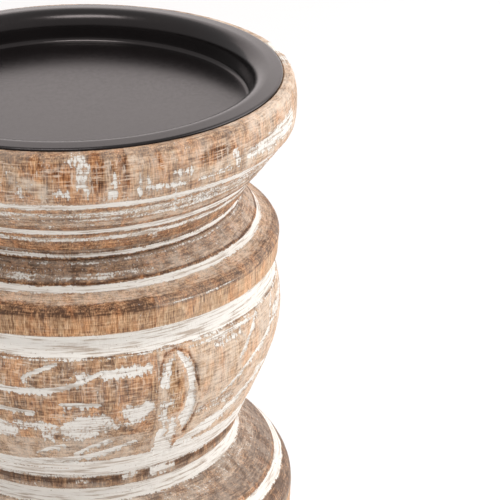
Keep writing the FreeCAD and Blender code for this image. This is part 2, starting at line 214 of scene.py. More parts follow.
def stripe(depth, tall, phi=(-200, 200), broken=0.0, **looks):
    """A line round the turning: its middle depth, height, how broken it is, and the looks that it sets."""
    return SimpleNamespace(depth=depth, tall=tall, phi=phi, broken=broken, looks=looks)


def mark(*discs, deep, ragged=1.0, teeth=0.5, soft=0.6, **looks):
    """A rubbed, stained or cut patch: the (phi, depth, radius) discs that it joins, and the looks it sets."""
    return SimpleNamespace(discs=discs, deep=deep, ragged=ragged, teeth=teeth, soft=soft, looks=looks)


def rub(strength, *discs, deep=0.25):
    """A patch of white rubbed into rasped wood."""
    return mark(*discs, deep=deep, wash=strength, haze=0.8 * strength, dark=0.1)


def stain(dark, *discs, warm=0.6):
    """A browner place, with no paint left on it."""
    return mark(*discs, deep=0.0, ragged=0.8, teeth=0.2, wash=0.0, haze=0.0, dark=dark, warm=warm)


def gouge(width, *path):
    """A chisel stroke filled with white through (phi, depth) places: thin ends, a frayed lower edge."""
    places = curved(path)
    along = np.linspace(0, 1, len(places))
    half = width / 2 * (0.45 + 0.55 * np.sin(np.pi * (along * 0.8 + 0.12)))
    discs = np.column_stack([places, half])
    return mark(*discs, deep=0.42, ragged=0.3, teeth=0.7, soft=0.2, wash=1.25, haze=1.0, dark=0.0)


def curved(path):
    """A smoother line through the same places, by cutting its corners twice; the ends stay."""
    points = np.array(path, float)
    for _ in range(2):
        if len(points) < 3:
            break
        cut = [points[:-1] * 0.75 + points[1:] * 0.25, points[:-1] * 0.25 + points[1:] * 0.75]
        middle = np.stack(cut, axis=1).reshape(-1, 2)
        points = np.vstack([points[:1], middle[1:-1], points[-1:]])
    return points


# ---------------- the four turned sections

# turn is the angle of the first block's side, and step is the spacing of the mesh. blocks has the orange,
# film and stain added to each quarter block. outer has corners (radius, depth, finish, bulge) from the top
# down, and inner has the (radius, depth) corners of the hidden faces, from the bottom up.

CUP = SimpleNamespace(name="cup", turn=17.0, step=0.33, seed=11)
CUP.blocks = [(0.0, 0.05, 0.0), (0.1, 0.0, 0.05), (0.15, -0.03, -0.04), (-0.02, 0.16, -0.14)]
CUP.outer = [
    (REBATE_RADIUS, 0.0),
    (58.1, 0.0, "lip"),
    (59.4, 1.7, "lip", 1.9),
    (59.4, 12.9, "band", 26.4),
    (58.0, 14.1, "ridge"),
    (57.4, 15.2, "ridge"),
    (51.6, 23.0, "ridge"),
    (50.2, 23.7, "brown"),
    (49.5, 25.2, "white"),
    (46.3, 31.0, "brown"),
    (45.0, 31.8, "brown"),
    (44.7, CUP_END, "shadow"),
    (FACE_EDGE, CUP_END, "shadow"),
]
CUP.inner = [
    (FACE_EDGE, CUP_END),
    (SOCKET_RADIUS, CUP_END),
    (SOCKET_RADIUS, CUP_END - SOCKET),
    (BORE_RADIUS, CUP_END - SOCKET),
    (BORE_RADIUS, NUT_SEAT),
    (NUT_RECESS_RADIUS, NUT_SEAT),
    (NUT_RECESS_RADIUS, RECESS),
    (RECESS_RADIUS, RECESS),
    (RECESS_RADIUS, REBATE + RECESS_CHAMFER),
    (RECESS_RADIUS + RECESS_CHAMFER, REBATE),
    (REBATE_RADIUS, REBATE),
    (REBATE_RADIUS, 0.0),
]
CUP.stripes = [
    stripe(0.8, 2.4, phi=(50, 150), haze=0.6, dark=0.3),
    stripe(12.6, 0.6, haze=0.45, dark=0.15, hatch=0.2),
    stripe(14.0, 1.9, wash=0.86, haze=0.8, dark=0.1),
    stripe(13.8, 1.5, phi=(2, 200), wash=1.1),
    stripe(15.7, 0.9, broken=0.5, wash=0.0, haze=0.1, dark=0.4, warm=0.8),
    stripe(17.2, 1.5, broken=0.3, wash=0.6, haze=0.7),
    stripe(18.9, 1.0, broken=0.6, wash=0.32, haze=0.2, dark=0.75, warm=0.0),
    stripe(19.3, 0.9, phi=(7, 60), broken=0.3, wash=0.68, haze=0.6, dark=0.2),
    stripe(20.2, 0.4, broken=0.4, wash=0.1, dark=0.8, haze=0.1),
    stripe(21.0, 0.9, wash=0.3, haze=0.55, dark=0.35),
    # brown wood, darkened further as painted shade just above the ridge's lower edge
    stripe(22.7, 1.4, wash=0.1, haze=0.15, dark=0.75),
    stripe(24.3, 1.3, wash=1.15),
    stripe(25.4, 0.5, phi=(-3, 14), broken=0.6, wash=0.0, haze=0.1, dark=0.8),
    stripe(26.2, 0.4, broken=0.6, wash=0.1, haze=0.2, dark=0.6),
    stripe(27.1, 1.3, broken=0.25, wash=0.75, haze=0.7, dark=0.2),
    stripe(29.6, 2.4, wash=0.12, haze=0.1, dark=0.42, warm=0.8),
    stripe(31.7, 1.1, wash=0.28, haze=0.3, dark=0.8, warm=0.0),
    stripe(33.2, 1.1, broken=0.2, wash=0.84, haze=0.6, dark=0.3),
    stripe(33.4, 0.5, phi=(2, 200), wash=1.2),
    stripe(34.3, 0.5, wash=0.1, haze=0.0, dark=0.9),
]

UPPER = SimpleNamespace(name="upper_bulb", turn=25.3, step=0.34, seed=23)
UPPER.blocks = [(0.0, 0.05, -0.05), (0.1, 0.0, 0.0), (0.1, -0.05, 0.0), (-0.1, 0.38, -0.34)]
UPPER.outer = [
    (FACE_EDGE, CUP_END),
    (44.4, CUP_END, "shadow"),
    (46.0, 36.1, "shoulder"),
    (49.1, 39.4, "shoulder"),
    (49.6, 40.4, "white"),
    (53.3, 42.6, "edge", -6.0),
    (55.4, 45.6, "edge", 3.4),
    (54.95, 51.1, "tan"),
    (53.6, 51.8, "white"),
    (53.4, 54.0, "white"),
    (54.0, 56.5, "white"),
    (54.8, 57.9, "white"),
    (54.1, 77.0, "belly", 34.5),
    (48.7, 90.0, "belly"),
    (48.0, 90.9, "belly"),
    (48.0, 91.4, "belly"),
    (46.9, 93.9, "white"),
    (46.4, 94.4, "white"),
    (46.4, 94.9, "white"),
    (45.6, 97.0, "white"),
    (45.0, UPPER_END, "brown"),
    (FACE_EDGE, UPPER_END, "shadow"),
]
UPPER.stripes = [
    stripe(35.1, 0.4, broken=0.4, wash=0.62, haze=0.4),
    stripe(36.5, 1.5, wash=0.25, haze=0.18, dark=0.75, warm=0.3),
    stripe(37.9, 1.2, broken=0.5, wash=0.6, haze=0.5, dark=0.5),
    stripe(37.5, 3.2, phi=(28, 110), broken=0.5, wash=0.2, haze=0.45, dark=0.75),
    stripe(39.2, 0.7, wash=0.05, haze=0.0, dark=1.05, warm=0.4),
    stripe(40.4, 1.5, wash=1.1, haze=0.9, dark=0.0),
    stripe(41.9, 1.5, wash=0.15, haze=0.45, dark=0.3, warm=0.4),
    stripe(44.9, 0.35, phi=(27, 54), broken=0.4, wash=0.9, haze=0.6),
    # painted shade: greyer white along the top of the groove, under the step
    stripe(51.7, 1.1, wash=0.95, haze=0.6, dark=0.3),
    stripe(57.5, 0.5, broken=0.5, wash=0.1, haze=0.1, dark=0.75),
    stripe(58.9, 1.0, phi=(38, 60), broken=0.2, wash=0.95, haze=0.7),
    stripe(95.0, 5.2, wash=1.1, haze=0.8),
    stripe(91.5, 0.7, phi=(10, 25), wash=0.9, haze=0.6),
    stripe(94.3, 0.5, phi=(-40, 3), broken=0.4, wash=0.45, haze=0.2, dark=0.5),
    # painted shadow along the joint with the lower bulb
    stripe(97.2, 0.4, wash=0.1, haze=0.0, dark=0.9),
    stripe(87.0, 9.0, phi=(-60, 24), haze=0.56, warm=0.2, hatch=0.5),
    stripe(74.0, 32.0, phi=(39, 115), hatch=0.45),
]

LOWER = SimpleNamespace(name="lower_bulb", turn=58.0, step=0.45, seed=37)
LOWER.blocks = [(0.1, 0.0, 0.05), (0.0, 0.05, 0.0), (-0.1, 0.08, 0.0), (0.05, 0.03, 0.03)]
LOWER.outer = [
    (FACE_EDGE, UPPER_END),
    (44.2, UPPER_END, "shadow"),
    (43.8, 102.0, "collar"),
    (43.0, 102.6, "collar"),
    (42.2, 104.6, "white", -3.0),
    (43.5, 106.3, "white"),
    (53.8, 113.7, "slope"),
    (54.2, 114.9, "brown"),
    (55.6, 115.8, "white"),
    (59.3, 124.4, "slope", 12.0),
    (59.0, 131.2, "tan"),
    (57.7, 132.0, "white"),
    (57.4, 135.0, "white"),
    (57.8, 137.6, "white"),
    (58.8, 139.0, "white"),
    (57.0, 161.0, "belly", 42.0),
    (51.6, 174.0, "belly"),
    (50.9, 174.9, "white"),
    (50.0, 177.6, "white"),
    (49.4, 178.2, "white"),
    (49.0, 180.0, "white"),
    (48.6, LOWER_END, "brown"),
    (FACE_EDGE, LOWER_END, "shadow"),
]
LOWER.stripes = [
    stripe(98.1, 0.9, wash=0.85, haze=0.7, dark=0.2),
    stripe(99.6, 1.7, broken=0.3, wash=0.1, haze=0.05, dark=1.05),
    stripe(101.6, 1.5, wash=0.22, haze=0.3, dark=0.5, warm=0.4),
    stripe(104.9, 3.6, wash=1.0, haze=0.9, dark=0.1),
    stripe(108.4, 3.0, broken=0.5, wash=0.3, haze=0.45, dark=0.9),
    stripe(108.6, 3.4, phi=(-60, 25), broken=0.3, haze=0.8, dark=0.6),
    stripe(114.3, 1.0, wash=0.05, haze=0.1, dark=0.75, warm=0.7),
    stripe(116.2, 1.3, wash=1.1, haze=0.9, dark=0.0),
    stripe(119.8, 5.4, broken=0.3, wash=0.1, haze=0.08, dark=1.25, warm=0.1),
    stripe(138.9, 0.5, broken=0.5, wash=0.1, haze=0.1, dark=0.75),
    stripe(178.0, 0.5, broken=0.4, wash=0.4, haze=0.2, dark=0.5),
]

BASE = SimpleNamespace(name="base", turn=35.0, step=0.55, seed=53)
BASE.blocks = [(0.05, 0.05, 0.0), (-0.05, 0.05, 0.03), (0.1, 0.0, 0.05), (0.0, 0.08, 0.0)]
BASE.outer = [
    (FACE_EDGE, LOWER_END),
    (47.4, LOWER_END, "shadow"),
    (46.9, 185.2, "collar"),
    (46.0, 185.9, "white"),
    (45.4, 188.0, "white", -3.4),
    (47.2, 190.0, "white"),
    (64.4, 200.6, "slope"),
    (64.9, 201.8, "brown"),
    (66.6, 202.9, "white"),
    (72.2, 211.6, "slope", 12.0),
    (72.0, 220.8, "tan"),
    (70.7, 221.6, "white"),
    (70.5, 224.0, "white"),
    (71.6, 225.0, "white"),
    (74.4, 230.6, "edge", 6.5),
    (74.6, 235.6, "belly"),
    (73.6, BASE_END, "brown", 2.0),
    (FOOT_EDGE, BASE_END, "raw"),
]
BASE.stripes = [
    stripe(182.0, 1.0, wash=0.8, haze=0.7, dark=0.2),
    stripe(183.8, 1.5, broken=0.4, wash=0.1, haze=0.05, dark=0.9),
    stripe(192.0, 1.6, broken=0.4, wash=0.6, haze=0.6, dark=0.4),
    stripe(201.2, 0.9, wash=0.05, haze=0.1, dark=0.75, warm=0.7),
    stripe(203.6, 1.6, wash=1.1, haze=0.9, dark=0.0),
    stripe(212.2, 1.2, broken=0.3, wash=0.2, haze=0.3, dark=0.7),
    stripe(225.4, 0.5, broken=0.5, wash=0.1, haze=0.1, dark=0.75),
    stripe(231.4, 1.0, broken=0.4, wash=0.85, haze=0.6),
]


def joint_inner(top, bottom):
    """The hidden faces of a section that has a socket below and a spigot on top."""
    return [
        (FACE_EDGE, bottom),
        (SOCKET_RADIUS, bottom),
        (SOCKET_RADIUS, bottom - SOCKET),
        (BORE_RADIUS, bottom - SOCKET),
        (BORE_RADIUS, top - SPIGOT),
        (SPIGOT_RADIUS, top - SPIGOT),
        (SPIGOT_RADIUS, top),
        (FACE_EDGE, top),
    ]


UPPER.inner = joint_inner(CUP_END, UPPER_END)
LOWER.inner = joint_inner(UPPER_END, LOWER_END)
BASE.inner = [
    (FOOT_EDGE, BASE_END),
    (NUT_RECESS_RADIUS, BASE_END),
    (NUT_RECESS_RADIUS, FOOT_SEAT),
    (BORE_RADIUS, FOOT_SEAT),
    (BORE_RADIUS, LOWER_END - SPIGOT),
    (SPIGOT_RADIUS, LOWER_END - SPIGOT),
    (SPIGOT_RADIUS, LOWER_END),
    (FACE_EDGE, LOWER_END),
]

CUP.marks = [
    stain(0.45, (10, 1.5, 1.6), (11.5, 4.5, 2.0), (10, 7.5, 1.2), warm=1.1),
    stain(0.45, (0, 4.0, 1.6), (2.5, 6.0, 1.5), warm=1.2),
    stain(0.75, (37, 5.2, 1.3), (41, 4.8, 1.9), (46, 4.4, 1.3)),
    stain(0.5, (13.5, 2.8, 0.8), (14.5, 5.0, 0.7)),
    stain(0.1, (-4.0, 2.0, 1.4), (-3.5, 8.0, 1.2), warm=0.9),
    stain(0.55, (16.8, 2.0, 0.8), (17.4, 8.0, 0.7), warm=0.9),
    stain(0.4, (25.0, 2.2, 0.9), (25.5, 5.0, 0.8), warm=0.9),
    mark((18.8, 2.0, 0.7), (18.8, 10.5, 0.6), deep=0.0, haze=0.6, dark=0.0, warm=0.2),
    mark((12.8, 1.8, 0.3), (12.8, 11.0, 0.3), deep=0.0, haze=0.75, dark=0.0, warm=0.3),
    mark((-9.5, 6.0, 1.6), (-3.0, 9.0, 1.8), deep=0.0, haze=0.55, dark=0.1, warm=0.1),
    mark((34.0, 8.8, 1.4), (56.0, 10.0, 2.0), (80.0, 9.0, 2.2), deep=0.0, haze=0.65, dark=0.0, warm=0.2),
    rub(0.68, (4.0, 1.7, 1.2), (6.5, 1.9, 1.4), (6.9, 4.6, 1.4), (6.4, 7.2, 1.0)),
    rub(0.8, (7.2, 8.2, 0.4), (7.8, 10.2, 0.6)),
    rub(0.95, (14.2, 5.6, 0.4), (14.2, 8.8, 0.5), (13.7, 10.3, 0.9)),
    rub(0.8, (20.0, 6.0, 0.4), (20.3, 10.6, 0.6)),
    rub(0.95, (22.2, 3.0, 0.25), (22.2, 11.6, 0.3)),
    rub(0.75, (0.0, 9.8, 0.6), (3.0, 10.1, 0.8)),
    rub(0.6, (-8.2, 7.2, 0.3), (-8.0, 10.2, 0.35)),
    rub(0.6, (-6.2, 7.4, 0.3), (-6.0, 10.6, 0.35)),
    rub(0.8, (29.0, 7.2, 0.6), (33.0, 7.5, 0.8)),
    rub(0.72, (24.0, 10.2, 0.7), (31.0, 10.6, 0.9)),
    rub(0.75, (47.0, 6.4, 0.9), (48.5, 9.4, 1.0)),
    rub(0.75, (53.0, 8.6, 1.6), (62.0, 8.2, 2.4), (76.0, 7.5, 2.6)),
    rub(0.55, (36.0, 10.6, 0.8), (45.0, 10.4, 1.2)),
    gouge(0.7, (30.0, 14.4), (31.0, 17.0), (32.5, 20.6)),
    gouge(0.6, (34.5, 15.0), (37.5, 18.6)),
    gouge(0.6, (38.0, 15.2), (41.5, 19.0)),
    gouge(0.6, (42.0, 15.4), (45.5, 18.8)),
    rub(0.55, (30.0, 17.2, 1.0), (48.0, 17.0, 1.6), (66.0, 17.0, 1.8)),
    rub(0.9, (27.5, 27.4, 0.7), (29.5, 28.8, 0.5)),
]

UPPER.marks = [
    gouge(1.2, (-10.6, 62.4), (-6.5, 60.5), (-2.0, 58.9)),
    gouge(0.5, (-10.7, 62.4), (-10.5, 63.3)),
    gouge(1.55, (-36, 63.5), (-26, 65.5), (-17, 66.3), (-10, 66.4), (-4, 66.2), (2, 64.9), (10, 61.4)),
    gouge(1.3, (-1.2, 70.3), (3.0, 70.4), (9.2, 70.9)),
    gouge(0.8, (-0.4, 70.3), (0.1, 72.8)),
    gouge(1.2, (-27, 71.0), (-18, 72.6), (-8.5, 73.0)),
    gouge(1.2, (-9.6, 88.2), (-5.5, 86.2), (-1.2, 84.9)),
    gouge(1.15, (2.3, 88.1), (7, 85.6), (12, 83.6)),
    gouge(1.6, (-34, 91.4), (-16, 92.0), (-6, 90.8), (3, 90.2), (9, 88.8), (15, 87.0), (20.5, 85.4)),
    gouge(1.3, (62.6, 58.8), (59.5, 62.5), (57.0, 65.0)),
    gouge(2.0, (57.5, 64.6), (54.6, 67.6)),
    gouge(1.5, (80, 61.5), (74, 65.2), (67, 68.2), (59, 71.2), (48.2, 77.0)),
    gouge(1.8, (90, 72), (80, 76.4), (71, 79.4), (63, 83.4)),
    gouge(1.1, (75, 58.5), (72.5, 61.5), (71, 65.5)),
    rub(0.82, (11.5, 62.0, 1.4), (17, 62.2, 1.6), (23.5, 61.6, 1.1)),
    rub(0.55, (3.0, 61.8, 0.7), (5.5, 62.2, 0.9)),
    rub(0.8, (2.0, 79.0, 3.2), (5.0, 78.2, 4.2), (9.5, 77.2, 3.2)),
    rub(0.7, (9.5, 78.5, 1.2), (16.0, 78.6, 0.8), (22.0, 77.8, 0.7)),
    rub(0.86, (17.3, 73.4, 1.7), (19.2, 75.4, 2.6), (21.8, 73.8, 2.2)),
    rub(0.72, (-7.0, 77.4, 1.5), (-5.2, 78.6, 2.4), (-5.5, 82.0, 1.1)),
    rub(0.66, (-14.5, 77.6, 1.2), (-9.5, 77.6, 0.9)),
    rub(0.76, (-34, 80.5, 3.0), (-26, 80.0, 3.4), (-18, 79.8, 3.2)),
    rub(0.55, (-1.0, 82.4, 0.9), (3.5, 82.8, 0.7)),
    # the tall oval plug right of the glue line: worn wood in the middle, white at its right and at its foot
    stain(0.15, (29.0, 62.5, 1.6), (30.5, 68.0, 2.8), (31.0, 75.0, 2.4), warm=0.3),
    mark((31.5, 58.8, 0.1), (34.8, 60.4, 0.25), (36.6, 64.0, 0.4), (37.4, 68.0, 0.45), (38.3, 72.6, 0.3),
         deep=0.45, ragged=0.35, teeth=0.0, soft=0.25, wash=0.0, haze=0.0, dark=1.15, warm=0.3),
    mark((38.5, 74.0, 0.05), (38.6, 79.0, 0.15), (37.9, 83.4, 0.3), (36.2, 86.2, 0.7),
         deep=0.4, ragged=0.4, teeth=0.0, soft=0.3, wash=0.1, haze=0.0, dark=0.9, warm=0.3),
    mark((34.8, 60.0, 0.2), (31.0, 58.4, 0.35), (28.0, 59.2, 0.4), (26.4, 62.0, 0.4), (25.9, 67.0, 0.3),
         deep=0.35, ragged=0.3, teeth=0.0, soft=0.3, wash=0.1, haze=0.0, dark=0.85, warm=0.7),
    mark((31.8, 60.0, 0.7), (34.0, 62.0, 0.9), (35.2, 66.0, 1.1), (35.7, 71.0, 1.2), (36.0, 76.0, 1.4),
         (35.2, 80.0, 2.0), (35.6, 83.4, 1.4),
         deep=0.5, ragged=0.65, teeth=0.2, soft=0.4, wash=0.86, haze=0.8, dark=0.4),
    rub(0.9, (30.0, 60.6, 0.4), (28.2, 62.4, 0.8), (27.6, 67.2, 1.1)),
    rub(0.85, (28.9, 71.0, 0.3), (29.9, 74.8, 0.4)),
    rub(0.62, (26.8, 74.0, 0.8), (27.0, 78.0, 0.8)),
    rub(1.0, (28.0, 73.6, 0.4), (28.2, 79.0, 0.5), (29.0, 84.5, 0.6)),
    rub(1.05, (30.9, 79.6, 0.4), (31.4, 83.0, 1.1), (31.9, 86.4, 1.6)),
    rub(1.05, (27.6, 83.5, 0.9), (28.2, 88.0, 1.8), (29.8, 91.0, 2.8)),
    stain(0.6, (33.4, 87.2, 0.5), (33.8, 91.2, 0.4)),
    rub(1.0, (36.5, 91.0, 1.3), (41.0, 89.0, 1.9), (46.0, 87.6, 2.3), (53.0, 85.8, 1.9),
        (60.0, 82.6, 1.6), (68.0, 80.4, 1.6)),
    rub(0.5, (41.0, 80.0, 1.6), (52.0, 80.0, 1.8)),
    rub(0.8, (66.0, 77.5, 1.0), (74.0, 78.5, 2.2), (84.0, 74.0, 2.2)),
    rub(0.52, (44.0, 60.8, 0.8), (54.0, 60.8, 0.9)),
    rub(0.7, (76.0, 64.0, 2.0), (88.0, 62.0, 2.4)),
]

LOWER.marks = [
    rub(0.95, (28.5, 99.8, 0.9), (33.0, 99.9, 1.1), (37.0, 99.8, 0.7)),
    rub(0.7, (2.0, 99.4, 0.5), (5.0, 100.2, 0.5)),
    rub(0.65, (18.0, 100.0, 0.4), (23.0, 99.2, 0.6)),
]
BASE.marks = []


def scatter(section, phi_range, depth_range, strokes, patches):
    """Adds strokes and patches of the same kind where nothing is listed one by one."""
    random = np.random.default_rng(section.seed)
    for _ in range(strokes):
        phi = random.uniform(*phi_range)
        depth = random.uniform(*depth_range)
        run = random.uniform(8, 26)
        rise = random.uniform(-4.5, 1.5)
        sag = random.uniform(-1.2, 2.0)
        width = random.uniform(1.0, 1.6)
        middle = (phi + run / 2, depth + rise / 2 + sag)
        end = (phi + run, depth + rise)
        section.marks.append(gouge(width, (phi, depth), middle, end))
        if random.random() < 0.35:
            section.marks.append(gouge(0.8, (phi + 0.5, depth), (phi + 1.2, depth + 2.2)))
    for _ in range(patches):
        phi = random.uniform(*phi_range)
        depth = random.uniform(*depth_range)
        wide, tall = random.uniform(3, 11), random.uniform(1.0, 3.6)
        drop = random.uniform(-1.5, 1.5)
        strength = random.uniform(0.58, 0.85)
        first = (phi, depth, 0.7 * tall)
        last = (phi + wide, depth + drop, tall)
        section.marks.append(rub(strength, first, last))


scatter(UPPER, (84, 306), (61, 88), 38, 30)
scatter(LOWER, (-180, 180), (142, 172), 60, 44)
scatter(CUP, (84, 334), (1.5, 10), 0, 46)
scatter(BASE, (-180, 180), (206, 217), 18, 20)


def turned_back(degrees):
    """The same angle between -180 and 180."""
    return (degrees + 180) % 360 - 180


def chain_reach(across, down, places):
    """How far inside a row of joined discs each point is, in mm, and how far below its middle line."""
    if len(places) == 1:
        places = [places[0], places[0] + 1e-6]
    inside = np.full(across.shape, -np.inf)
    below = np.zeros(across.shape)
    for (x, y, radius), (x1, y1, radius1) in zip(places, places[1:]):
        length = (x1 - x) ** 2 + (y1 - y) ** 2
        part = np.clip(((across - x) * (x1 - x) + (down - y) * (y1 - y)) / length, 0, 1)
        gap = np.hypot(across - x - part * (x1 - x), down - y - part * (y1 - y))
        reach = radius + part * (radius1 - radius) - gap
        better = reach > inside
        inside = np.where(better, reach, inside)
        below = np.where(better, down - y - part * (y1 - y), below)
    return inside, below


def lay(face, weight, looks, where=slice(None)):
    """Blends the given looks into the face by weight."""
    for key, value in looks.items():
        kept = getattr(face, key)
        kept[where] += (value - kept[where]) * weight


def draw_stripes(face, stripes):
    """Lays each stripe over the finish below it, wandering a little, with a fibrous lower edge."""
    wander = 0.16 * face.streaks + 0.1 * face.drift
    for line in stripes:
        below = face.depth - line.depth + wander
        edge = line.tall / 2 - np.abs(below) + 0.14 * face.fibre * (below > 0)
        middle, half = sum(line.phi) / 2, (line.phi[1] - line.phi[0]) / 2
        ends = half - np.abs(turned_back(face.phi - middle)) + 4 * face.streaks
        weight = smooth(-0.16, 0.16, edge) * smooth(-4, 4, ends)
        weight = weight * (1 - line.broken * smooth(-0.15, 0.45, face.gaps))
        lay(face, weight, line.looks)


def work(face, marks):
    """Rubs, stains and cuts each mark into the face."""
    margin = 2.5
    for item in marks:
        discs = np.array(item.discs, float)
        centre = discs[:, 0].mean()
        across = turned_back(face.phi - centre)
        tall = discs[:, 2].max() + margin
        reach = np.abs(discs[:, 0] - centre).max() + tall
        near = (np.abs(across) < reach) & (face.depth > discs[:, 1].min() - tall)
        near &= face.depth < discs[:, 1].max() + tall
        if not near.any():
            continue
        per_degree = np.radians(face.radius[near])
        places = discs.copy()
        places[:, 0] = (discs[:, 0] - centre) * per_degree.mean()
        edge, below = chain_reach(across[near] * per_degree, face.depth[near], places)
        fibre, grit = face.fibre[near], face.grit[near]
        edge = edge + item.ragged * (0.5 * fibre + 0.4 * grit + 0.45 * face.drift[near])
        edge = edge + item.teeth * smooth(0.05, 0.5, fibre) * smooth(0.0, 0.5, below)
        inside = smooth(-item.soft, item.soft, edge)
        face.height[near] -= item.deep * inside * (0.85 + 0.4 * grit)
        lay(face, inside, item.looks, near)


# ---------------- one quarter block


def read_face(section, line, theta):
    """The block's outer face before carving: places, noise and what each point's finish asks for."""
    face = SimpleNamespace()
    angle = np.radians(theta)[None, :]
    radius, depth, rows = (column[:, None] + 0 * angle for column in (line.radius, line.depth, line.rows))
    round_it = np.stack([np.cos(angle) + 0 * rows, np.sin(angle) + 0 * rows], axis=-1)
    place = np.concatenate([round_it * radius[..., None], -depth[..., None]], axis=-1)
    ring = np.concatenate([round_it * RING, rows[..., None]], axis=-1)
    seed = section.seed
    # the second number of each noise is its cells for each millimetre
    face.phi = turned_back(theta + QUARTER)[None, :] + 0 * rows
    face.radius, face.depth, face.rows = radius, depth, rows
    face.fibre = noise(place, (1.25, 1.25, 0.16), seed, 2)
    face.grit = noise(place, 0.9, seed + 3, 2)
    face.drift = noise(place, (0.16, 0.16, 0.22), seed + 5, 2)
    face.turning = noise(ring, (0.05, 0.05, 1.5), seed + 7, 2)
    face.slow = noise(ring, (0.03, 0.03, 0.25), seed + 9)
    face.streaks = noise(ring, (0.12, 0.12, 0.9), seed + 13, 2)
    face.gaps = noise(ring, (0.16, 0.16, 0.5), seed + 15, 2)
    wobble = 0.1 * face.fibre + 0.12 * face.drift + 0.1 * face.grit + 0.15 * face.streaks
    index = np.clip(np.searchsorted(line.run, rows + wobble), 0, len(line.run) - 1)
    for key, values in zip(LOOKS, np.moveaxis(line.looks[index], -1, 0)):
        setattr(face, key, values.copy())
    ends = np.minimum(rows, line.rows[-1] - rows)
    face.fade = smooth(0.3, 1.6, ends)
    lathe_marks = 0.1 - 0.05 * face.hatch
    face.height = 0.08 * face.slow + lathe_marks * face.turning
    face.height = face.height + 0.05 * face.fibre * face.hatch + 0.03 * face.grit
    return face


def seam(face, theta):
    """A fine glue line at both sides of the block, plainest where the wood is rasped."""
    from_side = np.minimum(theta - theta[0], theta[-1] - theta)[None, :] * np.radians(face.radius)
    line = (1 - smooth(0.0, 0.4, from_side)) * (0.25 + 0.75 * smooth(0.3, 0.8, face.hatch))
    face.height -= 0.14 * line
    face.dark += 0.5 * line


def carved(section, index, line, theta):
    """The block's outer face with its own tone, its paint, its marks and its glue lines."""
    face = read_face(section, line, theta)
    share = 0.25 + 0.75 * smooth(0.3, 0.7, face.hatch)
    for key, more in zip(("warm", "haze", "dark"), section.blocks[index]):
        setattr(face, key, getattr(face, key) + more * share)
    draw_stripes(face, section.stripes)
    work(face, section.marks)
    seam(face, theta)
    return face


def keep_looks(mesh, face, hidden, tone):
    """Stores the looks, the run along the outline and the block's tone; hidden rows are raw wood."""
    columns = face.rows.shape[1]
    values = {}
    for key, raw in zip(LOOKS, FINISHES["raw"]):
        values[key] = np.vstack([getattr(face, key), np.full((hidden, columns), raw)])
    onward = face.rows[-1] + np.arange(hidden)[:, None] * HIDDEN_STEP
    values["along"] = np.vstack([face.rows, onward])
    values["tone"] = np.full(values["along"].shape, tone)
    for key, column in values.items():
        kept = mesh.attributes.new(key, "FLOAT", "POINT")
        kept.data.foreach_set("value", column.ravel().astype(np.float32))


def placed(mesh, material):
    """A new object of this mesh and material in the scene, named after the mesh."""
    mesh.materials.append(material)
    piece = bpy.data.objects.new(mesh.name, mesh)
    bpy.context.scene.collection.objects.link(piece)
    return piece


def block(section, index):
    """One quarter block as a closed wedge: a carved outer face, hidden inner faces and two sides."""
    line = outline(section.outer, section.step)
    start = section.turn + QUARTER * index
    count = round(math.radians(QUARTER) * line.radius.max() / section.step)
    theta = np.linspace(start, start + QUARTER, count + 1)
    face = carved(section, index, line, theta)
    height = face.height * face.fade
    radius = face.radius + line.out[:, None] * height
    up = LIP - face.depth + line.up[:, None] * height

    inner = plain_outline(section.inner, HIDDEN_STEP)[1:]
    radius = np.vstack([radius, np.tile(inner[:, :1], len(theta))])
    up = np.vstack([up, np.tile(LIP - inner[:, 1:], len(theta))])
    angle = np.radians(theta)[None, :]
    points = np.stack([radius * np.cos(angle), radius * np.sin(angle), up], axis=-1) * MM

    number = np.arange(radius.size).reshape(radius.shape)
    below = np.roll(number, -1, axis=0)
    quads = np.stack([number[:, :-1], below[:, :-1], below[:, 1:], number[:, 1:]], axis=-1).reshape(-1, 4)
    sides = [number[::-1, 0].tolist(), number[:, -1].tolist()]
    name = f"{section.name}_block_{index + 1}"
    mesh = bpy.data.meshes.new(f"{name}_skin")
    mesh.from_pydata(points.reshape(-1, 3), [], quads.tolist() + sides)
    mesh.shade_smooth()
    mesh.set_sharp_from_angle(angle=math.radians(62))
    keep_looks(mesh, face, len(inner), section.seed + index * 7.3)
    piece = placed(mesh, WOOD)
    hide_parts(name)
    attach(piece, "stand")


# ---------------- materials


